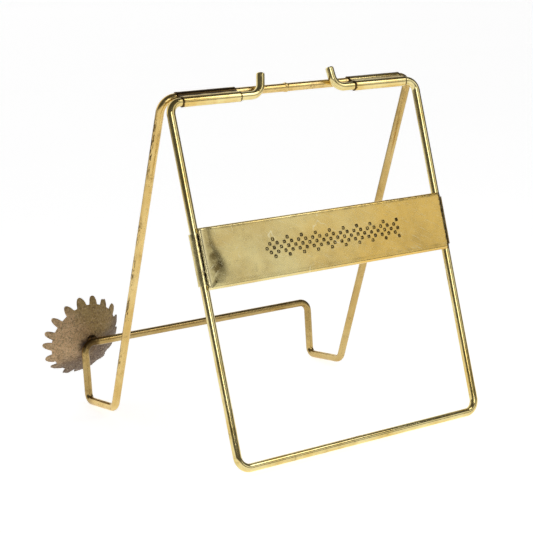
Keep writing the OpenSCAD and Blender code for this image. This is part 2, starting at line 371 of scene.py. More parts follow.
def plate_stations():
    """Stations along the plate: x of the face, or how far round an end bend, a wall or a curl."""
    start = PUNCH_FROM - PUNCH_PITCH / 2
    end = start + PUNCH_COLUMNS * PUNCH_PITCH
    edge = PLATE_FACE_HALF - PLATE_END_R
    face = spread(-edge, -edge + 9, 0.36)[:-1] + spread(-edge + 9, start, 1.0)[:-1]
    face += spread(start, end, PUNCH_PITCH / PUNCH_STEPS)[:-1] + spread(end, edge, 1.0)
    left = [("curl", -1, a) for a in reversed(spread(0, 1, 1 / 28))]
    left += [("wall", -1, a) for a in reversed(spread(0, 1, 1 / 3))]
    left += [("bend", -1, a) for a in reversed(spread(0, 1, 1 / 4)[1:-1])]
    right = [(kind, 1, a) for kind, _, a in reversed(left)]
    return left + [("face", 0, x) for x in face] + right


def plate_rows():
    """Rows up the plate: z of the flat face, or how far round a fold or along a flange."""
    flat = PLATE_HALF_H - PLATE_FOLD_R
    half_block = PUNCH_ROWS * PUNCH_PITCH / 2
    rows = [("flat", 0, z) for z in spread(half_block, PLATE_TAB_HALF, 0.5)[1:]] + [("flat", 0, flat)]
    rows += [("fold", 1, a) for a in spread(0, 1, 1 / 7)[1:]]
    rows += [("flange", 1, a) for a in spread(0, 1, 1 / 2)[1:]]
    mirrored = [(kind, -side, -a if kind == "flat" else a) for kind, side, a in reversed(rows)]
    middle = [("flat", 0, z) for z in spread(-half_block, half_block, PUNCH_PITCH / PUNCH_STEPS)]
    return mirrored + middle + rows


def plate_across(station):
    """Front point, back point (x, y) and the front's outward direction at one station."""
    kind, side, a = station
    front, edge = PLATE_FRONT, PLATE_FACE_HALF - PLATE_END_R
    if kind == "face":
        return (a, -front), (a, PLATE_SHEET - front), (0, -1)
    if kind == "bend":
        turn = a * math.pi / 2
        x = edge + PLATE_END_R * math.sin(turn)
        y = -front + PLATE_END_R * (1 - math.cos(turn))
        inner = (side * (edge + PLATE_END_R - PLATE_SHEET), PLATE_SHEET - front)
        return (side * x, y), inner, (side * math.sin(turn), -math.cos(turn))
    outer_r = CURL_R + PLATE_SHEET
    if kind == "wall":
        y = -front + PLATE_END_R + a * (front - PLATE_END_R - outer_r + 0.04)
        inner_y = max(y, PLATE_SHEET - front)
        return (side * PLATE_FACE_HALF, y), (side * (PLATE_FACE_HALF - PLATE_SHEET), inner_y), (side, 0)
    start = -90 - math.degrees(math.asin((CURL_GAP - 0.08) / outer_r))
    inner_start = -90 - math.degrees(math.asin((CURL_GAP + PLATE_SHEET - 0.02) / CURL_R))
    outer = math.radians(start + a * (CURL_END - start))
    inner = math.radians(inner_start + a * (CURL_END - inner_start))
    centre = PLATE_FACE_HALF + CURL_GAP
    out = (side * (centre + outer_r * math.cos(outer)), outer_r * math.sin(outer))
    inn = (side * (centre + CURL_R * math.cos(inner)), CURL_R * math.sin(inner))
    return out, inn, (side * math.cos(outer), math.sin(outer))


def plate_up(row):
    """Height, depth behind the face and outward direction of the front and of the back at one row."""
    kind, side, a = row
    flat = PLATE_HALF_H - PLATE_FOLD_R
    if kind == "flat":
        return (a, 0), (a, 0), 0.0
    if kind == "fold":
        turn, inner_r = a * math.pi / 2, PLATE_FOLD_R - PLATE_SHEET
        out = (side * (flat + PLATE_FOLD_R * math.sin(turn)), PLATE_FOLD_R * (1 - math.cos(turn)))
        inn = (side * (flat + inner_r * math.sin(turn)), inner_r * (1 - math.cos(turn)))
        return out, inn, side * turn
    depth = a * (PLATE_FLANGE - PLATE_FOLD_R)
    out = (side * PLATE_HALF_H, PLATE_FOLD_R + depth)
    inn = (side * (PLATE_HALF_H - PLATE_SHEET), PLATE_FOLD_R - PLATE_SHEET + depth)
    return out, inn, side * math.pi / 2


def plate_has(station, row):
    """Whether the sheet is there: tabs are lower than the face, flanges are shorter."""
    if row[0] == "flange":
        return station[0] == "face" and abs(station[2]) <= PLATE_FLANGE_HALF
    if station[0] == "curl":
        return row[0] == "flat" and abs(row[2]) <= PLATE_TAB_HALF
    return True


def scratch(x, z, x0, z0, x1, z1):
    """1 on a line scratched from one point to another, falling to 0 beside it."""
    along = Vector((x1 - x0, z1 - z0))
    length = along.length
    t = min(max(((x - x0) * along.x + (z - z0) * along.y) / length ** 2, 0), 1)
    return bell((Vector((x - x0, z - z0)) - along * t).length, 0, 0.22)


def plate_relief(x, z):
    """Outward relief of the face in millimetres, and how dark it is: painted shade in the dish, darker fold
    and mitre lines, and a darker band near the bottom.
    """
    from_left = x + PLATE_FACE_HALF
    lip = -0.38 * max(0.0, 1.0 - from_left / 1.4) ** 2
    low = smoothstep(8, -6, z)
    dish_centre = 2.6 + 0.6 * wobble(0, z, 3, 7) + 2.6 * low
    dish_width = 1.5 + 1.7 * low
    deep = (0.50 + 0.50 * bell(z, -2.5, 6.0)) * smoothstep(-10.0, -7.0, z)
    dish = deep * bell(from_left, dish_centre, dish_width)
    mitre = scratch(x, z, -51.6, -10.0, -47.4, -6.0) + scratch(x, z, -51.0, -9.4, -48.4, -7.6)
    waves = 0.04 * wobble(x, z, 0, 11) + 0.012 * wobble(x, z, 5, 2.6)
    nicks = 0.05 * max(0.0, wobble(x, z, 11, 0.9) - 0.45) * smoothstep(8.0, 9.6, abs(z))
    relief = lip - 0.40 * dish + waves - 0.12 * mitre + nicks
    # Painted shade: the sunk dish is also darkened, standing in for its darker reflection; the mitre lines
    # are darker too
    stain = dish * (1.0 + 0.35 * wobble(x, z, 2, 1.3)) + 0.4 * mitre
    # Darker along the top and bottom fold lines
    creases = 0.75 * bell(z, 9.7, 0.40) + 0.5 * bell(z, -8.7, 0.35)
    creases *= 0.8 + 0.5 * wobble(x, 0, 31, 3)
    # A darker band near the bottom of the left half
    bottom_darkening = 0.35 * bell(z, -6.0, 2.6) * smoothstep(26, 5, from_left)
    return relief, min(max(max(stain, creases, bottom_darkening), 0.0), 1.0)


def lip_wear_and_highlight(x):
    """How much the rounded lip at the left end is made bright: partly rubbed brass, partly a painted
    highlight.
    """
    return bell(x + PLATE_FACE_HALF, 0.8, 0.7)


def punched(column, row):
    """A running band of diamonds with a dot in each: which cells of the block hold a ring."""
    step = column % 4
    reach = 2 - abs(step - 2)
    return abs(row - 2) == reach or (step == 2 and row == 2)


def front_tones(station, x, z):
    """Relief of the front in millimetres, and its tones at one point: painted shadow in the gap at each
    end, painted shade on the end walls, the lip's rubbed edge with its painted highlight, and darkening
    that is partly painted shade.
    """
    kind, side, a = station
    # Curl: a little darker overall, with painted shadow in the gap where it starts; wall: painted shade
    # deepening toward the gap; face: a painted shadow line at its right end
    if kind == "curl":
        relief = 0.05 * wobble(side * 9, z, 7 * a, 2.5)
        stain = 0.28 + 0.35 * wobble(side * 9, z, 7 * a + 3, 3)
        return relief, {"patina": 0.7 * bell(a, 0.0, 0.10), "stain": stain}
    if kind == "wall":
        return 0.0, {"patina": 0.35 + 0.65 * a}
    relief, stain = plate_relief(x, z)
    return relief, {"patina": bell(x, PLATE_FACE_HALF - 0.3, 0.8), "edge": lip_wear_and_highlight(x), "stain": stain}


def sheet_grid(sheet, stations, rows):
    """Draws the vertices of the front and of the back at every station and row."""
    up = [plate_up(row) for row in rows]
    front_at, back_at = {}, {}
    for i, station in enumerate(stations):
        kind = station[0]
        (x, y), (back_x, back_y), (out_x, out_y) = plate_across(station)
        for j, ((z, depth), (back_z, back_depth), turn) in enumerate(up):
            flare = 1 + FLARE * z / PLATE_FACE_HALF
            fade = 1.0 if kind == "curl" else math.cos(turn) * (1.0 if kind == "face" else 0.4)
            relief, tones = front_tones(station, x, z)
            relief *= fade
            front = (x * flare + out_x * relief, y + depth + out_y * relief, z)
            front_at[i, j] = sheet.vertex(front, **tones)
            pushed = relief * fade if kind == "face" else 0.0
            back = (back_x * flare, back_y + back_depth - pushed, back_z)
            back_at[i, j] = sheet.vertex(back, patina=0.20, stain=0.25)
    return front_at, back_at


def sheet_cells(stations, rows):
    """Cells of the grid where the sheet is, each named by its first station and row."""
    cells = set()
    for i in range(len(stations) - 1):
        for j in range(len(rows) - 1):
            corners = [(stations[a], rows[b]) for a in (i, i + 1) for b in (j, j + 1)]
            if all(plate_has(station, row) for station, row in corners):
                cells.add((i, j))
    return cells


def close_edges(sheet, cells, front_at, back_at, i, j):
    """Joins front to back along each side of a cell where the sheet ends, and marks that edge as rubbed
    bright.
    """
    sides = (((i, j - 1), (i, j), (i + 1, j)), ((i, j + 1), (i + 1, j + 1), (i, j + 1)),
             ((i - 1, j), (i, j + 1), (i, j)), ((i + 1, j), (i + 1, j), (i + 1, j + 1)))
    for beyond, p, q in sides:
        if beyond not in cells:
            sheet.faces.append([front_at[q], front_at[p], back_at[p], back_at[q]])
            sheet.tones["edge"][front_at[p]] = 1.0
            sheet.tones["edge"][front_at[q]] = 1.0


def ring_places(stations, rows):
    """First station and row of each punched ring, and the seed of its unevenness."""
    left = stations.index(("face", 0, PUNCH_FROM - PUNCH_PITCH / 2))
    low = -PUNCH_ROWS * PUNCH_PITCH / 2 - 1e-6
    bottom = min(j for j, row in enumerate(rows) if row[0] == "flat" and row[2] >= low)
    places = []
    for c in range(PUNCH_COLUMNS):
        for r in range(PUNCH_ROWS):
            if punched(c, r):
                places.append((left + c * PUNCH_STEPS, bottom + r * PUNCH_STEPS, c * 31 + r))
    return places


def add_ring(sheet, front_at, i0, j0, seed):
    """Strikes one ring into the face: loops of vertices inside a square of the grid."""
    n = PUNCH_STEPS
    border = [front_at[i0 + k, j0] for k in range(n)] + [front_at[i0 + n, j0 + k] for k in range(n)]
    border += [front_at[i0 + n - k, j0 + n] for k in range(n)]
    border += [front_at[i0, j0 + n - k] for k in range(n)]
    cx, cy, cz = (sum(sheet.verts[b][axis] for b in border) / len(border) for axis in range(3))
    turns = [math.atan2(sheet.verts[b][2] - cz, sheet.verts[b][0] - cx) for b in border]
    draw = random.Random(seed)
    dx, dz = draw.uniform(-0.05, 0.05), draw.uniform(-0.05, 0.05)
    depth = draw.uniform(0.8, 1.2)
    lean = draw.uniform(0, 2 * math.pi)
    previous = border
    for radius, height in PUNCH_LOOPS:
        loop = []
        dark = min(1.0, max(0.0, -height * 10.0) + 0.42)
        for a in turns:
            strike = depth * (1 + 0.35 * math.cos(a - lean))
            out = height * (strike if height < 0 else 1)
            point = (cx + dx + radius * math.cos(a), cy - out, cz + dz + radius * math.sin(a))
            loop.append(sheet.vertex(point, patina=dark))
        for k in range(len(border)):
            m = (k + 1) % len(border)
            sheet.faces.append([previous[k], previous[m], loop[m], loop[k]])
        previous = loop
    centre = sheet.vertex((cx + dx, cy - 0.04, cz + dz), patina=0.50)
    for k in range(len(border)):
        sheet.faces.append([previous[k], previous[(k + 1) % len(border)], centre])


def draw_sheet():
    """The whole plate as one closed sheet: face, folds, flanges, end walls, curls and punches."""
    sheet = Draft("patina", "edge", "stain")
    stations, rows = plate_stations(), plate_rows()
    front_at, back_at = sheet_grid(sheet, stations, rows)
    cells = sheet_cells(stations, rows)
    rings = ring_places(stations, rows)
    steps = range(PUNCH_STEPS)
    struck = {(i0 + i, j0 + j) for i0, j0, _ in rings for i in steps for j in steps}
    for i, j in sorted(cells):
        corners = [(i, j), (i + 1, j), (i + 1, j + 1), (i, j + 1)]
        if (i, j) not in struck:
            sheet.faces.append([front_at[corner] for corner in corners])
        sheet.faces.append([back_at[corner] for corner in corners[:1] + corners[:0:-1]])
        close_edges(sheet, cells, front_at, back_at, i, j)
    for i0, j0, seed in rings:
        add_ring(sheet, front_at, i0, j0, seed)
    return sheet


def build_plate():
    """The plate's sheet, put in place without the grid's unused vertices."""
    sheet = draw_sheet()
    used = sorted({v for face in sheet.faces for v in face})
    new_index = {v: k for k, v in enumerate(used)}
    place = plate_matrix()
    placed = [place @ Vector(sheet.verts[v]) for v in used]
    faces = [[new_index[v] for v in face] for face in sheet.faces]
    layers = {name: [values[v] for v in used] for name, values in sheet.tones.items()}
    plate = make_mesh("punched_plate", placed, faces, layers)
    sharpen(plate, 50)
    return stand_in(plate, "front", "nameplate")


# ---------------------------------------------------------------- toothed cap

def tooth_shapes():
    """Each tooth's turn, height, half width, roundness and bend, all a little different."""
    draw = random.Random(11)
    shapes = []
    for k in range(TOOTH_N):
        shapes.append({
            "turn": TOOTH_TURN + 360 * k / TOOTH_N + draw.uniform(-1.4, 1.4),
            "height": (TOOTH_TIP_R - TOOTH_ROOT_R) * draw.uniform(0.96, 1.14),
            "half": draw.uniform(6.0, 7.8),
            "power": draw.choice((1.9, 2.3, 2.8, 3.6)),
            "lean": draw.uniform(-0.9, 0.9),
            "notch": draw.choice((0.0, 0.0, 0.0, 0.22)),
            "curl": draw.uniform(-0.5, 0.7),
        })
    return shapes


def rim_radius(angle, shapes):
    """Radius of the cap's outline in one direction, and how much its tooth bends forward."""
    radius = TOOTH_ROOT_R - 0.25 + 0.25 * wobble(math.cos(angle) * 6, math.sin(angle) * 6, 0, 2.0)
    curl = 0.0
    for tooth in shapes:
        off = math.degrees(angle) - tooth["turn"]
        off = (off + 180) % 360 - 180 - tooth["lean"] * 0.8
        if abs(off) < tooth["half"]:
            rise = (1 - abs(off / tooth["half"]) ** tooth["power"]) ** 0.75
            rise -= tooth["notch"] * bell(off, 0.8, 2.0)
            grown = TOOTH_ROOT_R + tooth["height"] * rise - 0.15 * (1 - rise)
            if grown > radius:
                radius, curl = grown, tooth["curl"] * rise
    return radius, curl


def cap_point(radius, angle, wall, bump, curl):
    """A point of the dome at a radius from its axis, sunk by the wall and raised by the bump."""
    sphere = DOME_R - wall + bump
    x, y = radius * math.cos(angle), radius * math.sin(angle)
    height = math.sqrt(max(DOME_R ** 2 - radius ** 2, 0))
    push = sphere / DOME_R
    return (x * push, y * push, height * push + curl)


def cap_bump(x, y):
    """Cast-like roughness of the dome in millimetres, calmer at its upper right."""
    calm = smoothstep(-6, 9, 0.8 * x + 0.6 * y)
    coarse = 0.22 * wobble(x, y, 1, 3.2) + 0.20 * wobble(x, y, 4, 1.3)
    fine = 0.22 * wobble(x, y, 8, 0.7)
    return coarse * (1 - 0.5 * calm) + fine * (1 - 0.7 * calm)


def cap_tones(x, y):
    """How tan and how olive the dome is at a point seen along its axis, with painted shade: purple-grey on
    the lower right, which faces away from the light, and dark where the wire corner shadows it, partly
    scorch.
    """
    drift = 2.2 * wobble(x, y, 21, 5) + 1.1 * wobble(x, y, 27, 1.6)
    tan = smoothstep(-1, -9, x + drift)
    olive = smoothstep(1, 7, 0.7 * x + 0.7 * y + drift)
    # Painted shade: the lower right of the dome faces away from the light
    violet_shade = smoothstep(-3, 6, 0.55 * x - 0.83 * y + drift)
    # Painted shadow of the wire corner on the dome, partly scorch from the soldering
    scorch_and_shadow = smoothstep(4.2, 0.8, math.hypot((x - SCORCH_AND_SHADOW_AT[0]) * 0.8, y - SCORCH_AND_SHADOW_AT[1]) + 0.6 * drift)
    return {"tan": tan, "olive": olive, "violet_shade": violet_shade, "scorch_and_shadow": scorch_and_shadow}


def draw_dome_side(dome, hollow, rims):
    """One side of the shell, from its centre out to the teeth; gives its first rim vertex."""
    count = len(rims)
    wall = DOME_WALL if hollow else 0.0
    top = dome.vertex(cap_point(0, 0, wall, 0, 0), **cap_tones(0, 0))
    plain_r = TOOTH_ROOT_R - TOOTH_FOOT
    for ring in range(1, DOME_RINGS + 1):
        t = ring / DOME_RINGS
        reach = max(0.0, (t - PLAIN_SHARE) / (1 - PLAIN_SHARE))
        for k, (rim, curl) in enumerate(rims):
            angle = 2 * math.pi * k / count
            radius = plain_r * t / PLAIN_SHARE if reach == 0 else plain_r + (rim - plain_r) * reach
            x, y = radius * math.cos(angle), radius * math.sin(angle)
            bump = 0.5 * cap_bump(x + 40, y) if hollow else cap_bump(x, y)
            rounding = 0.16 * reach ** 8 * (1 if hollow else -1)
            thin = wall * (1 - 0.25 * reach)
            point = cap_point(radius, angle, thin, bump + rounding, curl * reach ** 2)
            dome.vertex(point, **cap_tones(x, y))
    order = -1 if hollow else 1
    for k in range(count):
        m = (k + 1) % count
        dome.faces.append([top, top + 1 + k, top + 1 + m][::order])
        for ring in range(DOME_RINGS - 1):
            a = top + 1 + ring * count
            b = a + count
            dome.faces.append([a + k, b + k, b + m, a + m][::order])
    return top + 1 + (DOME_RINGS - 1) * count


def build_cap():
    """The toothed cap: a thin shell with a rough outer side, a hollow side and a rim."""
    shapes = tooth_shapes()
    count = TOOTH_N * TOOTH_STEPS
    rims = [rim_radius(2 * math.pi * k / count, shapes) for k in range(count)]
    dome = Draft("tan", "olive", "violet_shade", "scorch_and_shadow")
    outer = draw_dome_side(dome, False, rims)
    inner = draw_dome_side(dome, True, rims)
    for k in range(count):
        m = (k + 1) % count
        dome.faces.append([outer + k, inner + k, inner + m, outer + m])
    place = cap_matrix()
    cap = make_mesh("toothed_dome", [place @ Vector(v) for v in dome.verts], dome.faces, dome.tones)
    sharpen(cap, 60)
    return stand_in(cap, "bail", "toothed_cap")


# ---------------------------------------------------------------- braze and solder

def build_lump(name, node, body, squash, rough):
    """A lumpy bead: a closed rounded mesh over the node's box, pulled about by noise."""
    low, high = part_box(node)
    centre, half = (low + high) / 2, (high - low) / 2
    around, rings = 40, 24
    verts, faces = [], []
    for i in range(rings + 1):
        polar = math.pi * i / rings
        for k in range(around):
            turn = 2 * math.pi * k / around
            off_axis = math.sin(polar)
            d = Vector((math.cos(polar), off_axis * math.cos(turn), off_axis * math.sin(turn)))
            shape = Vector([math.copysign(abs(c) ** squash, c) for c in d])
            grow = 1 - rough + rough * noise.noise(d * 2.3 + centre / MM) + 0.4 * rough * noise.noise(d * 6)
            verts.append(centre + Vector([shape[c] * half[c] * grow for c in range(3)]))
    for i in range(rings):
        for k in range(around):
            m = (k + 1) % around
            faces.append([i * around + k, (i + 1) * around + k, (i + 1) * around + m, i * around + m])
    piece = make_mesh(name, verts, faces)
    return stand_in(piece, body, node)


# ---------------------------------------------------------------- material helpers

class Shader:
    """A material with a Principled shader and short calls for the nodes that feed it."""

    def __init__(self, name, metallic=1.0):
        self.material = bpy.data.materials.new(name)
        self.material.use_nodes = True
        self.tree = self.material.node_tree
        self.bsdf = self.tree.nodes["Principled BSDF"]
        self.bsdf.inputs["Metallic"].default_value = metallic
        self.place = self.add("ShaderNodeTexCoord").outputs["Object"]

    def add(self, kind, **inputs):
        """A new node with its inputs set by name, from a value or from another node's output."""
        node = self.tree.nodes.new(kind)
        for key, value in inputs.items():
            self.set(node, key.replace("_", " "), value)
        return node

    def set(self, node, key, value):
        socket = node.inputs[key]
        if isinstance(value, bpy.types.NodeSocket):
            self.tree.links.new(value, socket)
        else:
            socket.default_value = value

    def into(self, key, value):
        """Sets an input of the material's own shader."""
        self.set(self.bsdf, key, value)

    def stretched(self, size, turn=(0, 0, 0), shift=(0, 0, 0)):
        """Coordinates turned, then divided by a feature size in millimetres along each axis."""
        node = self.add("ShaderNodeMapping")
        node.vector_type = "TEXTURE"
        self.tree.links.new(self.place, node.inputs["Vector"])
        node.inputs["Scale"].default_value = [v * MM for v in size]
        node.inputs["Rotation"].default_value = [math.radians(t) for t in turn]
        node.inputs["Location"].default_value = shift
        return node.outputs["Vector"]

    def vector_maths(self, operation, vector, constant):
        """A vector node on a vector and a fixed one."""
        node = self.add("ShaderNodeVectorMath")
        node.operation = operation
        self.tree.links.new(vector, node.inputs[0])
        node.inputs[1].default_value = constant
        return node.outputs

    def along(self, direction, start):
        """Distance in metres along a direction from a starting point."""
        offset = self.vector_maths("SUBTRACT", self.place, start)["Vector"]
        return self.vector_maths("DOT_PRODUCT", offset, direction)["Value"]

    def distance_to(self, point):
        """Distance in metres from a point."""
        return self.vector_maths("DISTANCE", self.place, point)["Value"]

    def noise(self, scale, detail=4.0, roughness=0.55, vector=None, distortion=0.0):
        node = self.add("ShaderNodeTexNoise", Scale=scale, Detail=detail, Roughness=roughness)
        node.inputs["Distortion"].default_value = distortion
        self.tree.links.new(vector or self.place, node.inputs["Vector"])
        return node.outputs["Fac"]

    def spots(self, scale):
        """Distance to the nearest of many scattered points."""
        node = self.add("ShaderNodeTexVoronoi", Scale=scale)
        self.tree.links.new(self.place, node.inputs["Vector"])
        return node.outputs["Distance"]

    def fit(self, value, low, high, to_low=0.0, to_high=1.0):
        """Carries low..high smoothly onto to_low..to_high, and holds it there beyond them."""
        node = self.add("ShaderNodeMapRange")
        node.interpolation_type = "SMOOTHSTEP"
        self.tree.links.new(value, node.inputs["Value"])
        for key, number in (("From Min", low), ("From Max", high), ("To Min", to_low), ("To Max", to_high)):
            node.inputs[key].default_value = number
        return node.outputs["Result"]

    def maths(self, operation, a, b=0.0):
        node = self.add("ShaderNodeMath")
        node.operation = operation
        self.set(node, 0, a)
        self.set(node, 1, b)
        return node.outputs["Value"]

    def times(self, a, b):
        return self.maths("MULTIPLY", a, b)

    def plus(self, a, b):
        return self.maths("ADD", a, b)

    def mix(self, factor, a, b):
        node = self.add("ShaderNodeMix")
        node.data_type = "RGBA"
        self.set(node, 0, factor)
        self.set(node, 6, a)
        self.set(node, 7, b)
        return node.outputs[2]

    def attribute(self, name):
        node = self.add("ShaderNodeAttribute")
        node.attribute_name = name
        return node.outputs["Fac"]

    def bump(self, height, strength, distance, rounding=0.0):
        """Fine relief; a rounding in millimetres first softens the facets of a CAD mesh."""
        node = self.add("ShaderNodeBump", Strength=strength, Distance=distance, Height=height)
        if rounding:
            soft = self.add("ShaderNodeBevel", Radius=rounding * MM)
            soft.samples = 6
            self.tree.links.new(soft.outputs["Normal"], node.inputs["Normal"])
        self.into("Normal", node.outputs["Normal"])


def rgb(red, green, blue):
    """A colour picked on screen, 0 to 255, as linear values."""
    linear = []
    for value in (red, green, blue):
        c = value / 255
        linear.append(c / 12.92 if c <= 0.04045 else ((c + 0.055) / 1.055) ** 2.4)
    return (*linear, 1.0)


def scratches(s, count, low, high):
    """Thin straight scratches running several ways, 1 on a scratch."""
    total = None
    for k in range(count):
        turn = (37 * k + 11, 61 * k + 20, 83 * k)
        lines = s.noise(1.0, 1.0, 0.4, s.stretched((0.22, 0.22, 7.0), turn, (k, 2 * k, 3 * k)))
        layer = s.fit(lines, low, high)
        total = layer if total is None else s.maths("MAXIMUM", total, layer)
    return total


def streaks(s, lean, middle):
    """Drawing lines along the wire: along X on the bars, up the slant on the sides and legs."""
    bars = s.noise(1.0, 3.0, 0.5, s.stretched((12.0, 0.8, 0.8)))
    sides = s.noise(1.0, 3.0, 0.5, s.stretched((0.8, 0.8, 12.0), (-lean, 0, 0)))
    off = s.maths("ABSOLUTE", s.along((1, 0, 0), (middle, 0, 0)))
    on_side = s.fit(off, BAR_REACH * MM, (BAR_REACH + 1) * MM)
    return s.plus(s.times(sides, on_side), s.times(bars, s.maths("SUBTRACT", 1.0, on_side)))


def brass(name, look, lean=0.0, stain=None, dulling=None):
    """Aged polished brass: uneven tone, tarnish, pits, drawing lines and hairline scratches."""
    s = Shader(name)
    low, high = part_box("rear_bail")
    lines = streaks(s, lean, (low.x + high.x) / 2)
    tone = s.fit(s.plus(s.noise(75, 5, 0.6), s.times(lines, 0.35)), 0.50, 0.86)
    base = s.mix(tone, look["clean"], look["deep"])
    clouds = s.fit(s.noise(230, 7, 0.68, distortion=0.4), 0.52, 0.76)
    base = s.mix(s.times(clouds, look["dulling"]), base, look["dull"])
    # The extra duller tone is painted shade: on the bail it darkens the risers, crossbar and right leg for
    # their darker reflection of the shaded floor
    if dulling:
        base = s.mix(dulling(s), base, look["dull"])
    holes = s.fit(s.spots(1150), 0.24, 0.12)
    where = s.fit(s.noise(170, 3, 0.6), 1 - look["pitting"], 1.18 - look["pitting"])
    pits = s.times(holes, where)
    base = s.mix(pits, base, look["pit"])
    hair = scratches(s, 3, 0.70, 0.78)
    base = s.mix(s.times(hair, 0.2), base, look["clean"])
    gloss = s.fit(s.noise(420, 6, 0.65), 0.3, 0.75, look["rough"] - 0.05, look["rough"] + 0.10)
    gloss = s.plus(gloss, s.times(clouds, 0.12))
    gloss = s.plus(gloss, s.times(pits, 0.3))
    # Extra darkening: on the bail, dirt along the left leg and scorch with painted shade at the cap corner;
    # on the sleeves, a darker band and darker ends
    if stain:
        dark = stain(s)
        base = s.mix(dark, base, look["darkening_colour"])
        gloss = s.plus(gloss, s.times(dark, 0.15))
    s.into("Base Color", base)
    s.into("Roughness", gloss)
    height = s.maths("SUBTRACT", s.times(s.noise(650, 5, 0.55), 0.5), pits)
    height = s.maths("SUBTRACT", height, s.times(hair, 0.10))
    height = s.plus(height, s.times(lines, 0.25))
    height = s.plus(height, s.noise(130, 3, 0.5))
    s.bump(height, look["bump"], 0.0002, look["rounding"])
    return s.material


def bail_stain():
    """Scorch with painted shade at the corner where the cap was soldered on, and dark dirt along the left
    leg's outer side.
    """
    low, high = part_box("rear_bail")
    corner = (low.x + 3.4 * MM, high.y - WIRE_R * MM, CROSSBAR_Z * MM)

    def stain(s):
        seam = s.fit(s.along((1, 0, 0), (low.x, 0, 0)), 0.40 * MM, 0.22 * MM)
        seam = s.times(seam, s.fit(s.along((0, 0, 1), (0, 0, 0)), 12 * MM, 30 * MM))
        specks = s.fit(s.noise(1.0, 4, 0.7, s.stretched((0.5, 0.5, 1.6), (-BAIL_LEAN, 0, 0))), 0.46, 0.56)
        patchy = s.fit(s.noise(60, 3, 0.5), 0.40, 0.56)
        line = s.times(s.times(seam, specks), patchy)
        ragged = s.fit(s.noise(420, 6, 0.65), 0.2, 0.8, -1.4 * MM, 1.4 * MM)
        # Scorch from the soldering, with painted shade where the wire corner meets the cap
        scorch_and_shadow = s.fit(s.plus(s.distance_to(corner), ragged), 5.2 * MM, 2.6 * MM)
        return s.maths("MAXIMUM", line, s.times(scorch_and_shadow, 0.85))

    return stain


def bail_painted_shade():
    """Painted shade: duller, darker brass on the risers and the crossbar, and a little on the right leg,
    for their darker reflection of the shaded floor under the stand.
    """
    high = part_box("rear_bail")[1]

    def dulling(s):
        ragged = s.fit(s.noise(90, 5, 0.6), 0.25, 0.75, -3.0 * MM, 3.0 * MM)
        back = s.plus(s.along((0, 1, 0), (0, high.y, 0)), ragged)
        riser = s.fit(back, -8.0 * MM, -3.0 * MM, 0.0, 0.62)
        right = s.plus(s.along((1, 0, 0), (high.x, 0, 0)), ragged)
        leg = s.fit(right, -14.0 * MM, -8.0 * MM, 0.0, 0.35)
        return s.maths("MAXIMUM", riser, leg)

    return dulling


def sleeve_darkening(node, start, end):
    """A darker band along a sleeve between two distances back from the front bar, and darker ends."""
    low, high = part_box(node)
    outer = 1.87 * MM
    rise = math.radians(HINGE_RISE)
    front_bar = (low.x, low.y + outer, low.z + outer)

    def stain(s):
        ragged = s.fit(s.noise(1.0, 5, 0.6, s.stretched((6.0, 0.6, 0.6))), 0.25, 0.75, -0.4 * MM, 0.4 * MM)
        back = s.plus(s.along((0, math.cos(rise), math.sin(rise)), front_bar), ragged)
        after = s.fit(back, (start - 0.35) * MM, (start + 0.2) * MM)
        band = s.times(after, s.fit(back, (end + 0.35) * MM, (end - 0.2) * MM))
        from_left = s.along((1, 0, 0), (low.x, 0, 0))
        from_right = s.along((-1, 0, 0), (high.x, 0, 0))
        nearest = s.plus(s.maths("MINIMUM", from_left, from_right), ragged)
        return s.maths("MAXIMUM", band, s.fit(nearest, 0.7 * MM, 0.2 * MM))

    return stain


def plate_material():
    """Polished plate: khaki to gold, with dark patinated punches, painted shade in the dish, the end gaps
    and the end walls, darker fold lines, a painted highlight on the left lip, and scratches.
    """
    s = Shader("plate_brass")
    middle = plate_matrix() @ Vector((0, 0, 0))
    across = s.along((1, 0, 0), (middle.x, 0, 0))
    warm = s.fit(s.plus(across, s.fit(s.noise(45, 4), 0.2, 0.8, -0.02, 0.02)), -0.05, 0.03)
    base = s.mix(warm, rgb(236, 221, 158), rgb(234, 196, 106))
    patches = s.fit(s.noise(48, 3, 0.5, distortion=0.5), 0.44, 0.70)
    base = s.mix(s.times(patches, 0.45), base, rgb(196, 162, 88))
    soft = s.fit(s.noise(330, 5, 0.6), 0.3, 0.7, 0.60, 1.10)
    # Painted shade in the dish, with darker fold lines, mitre lines, curls and a darker band near the
    # bottom
    base = s.mix(s.fit(s.times(s.attribute("stain"), soft), 0.0, 1.0), base, rgb(112, 96, 54))
    # The punches' dark oxide is real; at the end gaps, the end walls and the right end the same dark is
    # painted shade
    dark = s.attribute("patina")
    dark_patina_and_shade = s.fit(s.plus(dark, s.fit(s.noise(900, 6, 0.7), 0.3, 0.7, -0.20, 0.20)), 0.24, 0.72)
    base = s.mix(dark_patina_and_shade, base, rgb(52, 36, 16))
    # Bright rubbed edges, and a painted highlight on the left lip
    wear_and_highlight = s.attribute("edge")
    base = s.mix(s.times(wear_and_highlight, 0.7), base, rgb(254, 240, 188))
    hair = scratches(s, 4, 0.66, 0.73)
    base = s.mix(s.times(hair, 0.50), base, rgb(255, 243, 196))
    curve = s.maths("ABSOLUTE", s.maths("SUBTRACT", s.noise(85, 2, 0.4, distortion=0.4), 0.5))
    where = s.times(s.fit(s.noise(120, 2), 0.50, 0.58), s.fit(across, 0.02, -0.01))
    nick = s.times(s.fit(curve, 0.0045, 0.0010), where)
    base = s.mix(s.times(nick, 0.6), base, rgb(255, 246, 204))
    s.into("Base Color", base)
    gloss = s.fit(s.noise(300, 4, 0.6), 0.3, 0.75, 0.19, 0.29)
    gloss = s.plus(gloss, s.times(dark_patina_and_shade, 0.25))
    gloss = s.plus(gloss, s.times(hair, 0.06))
    s.into("Roughness", gloss)
    height = s.plus(s.noise(140, 3, 0.5), s.times(s.noise(1500, 4, 0.6), 0.05))
    height = s.maths("SUBTRACT", height, s.times(hair, 0.15))
    s.bump(height, 0.12, 0.00025)
    return s.material


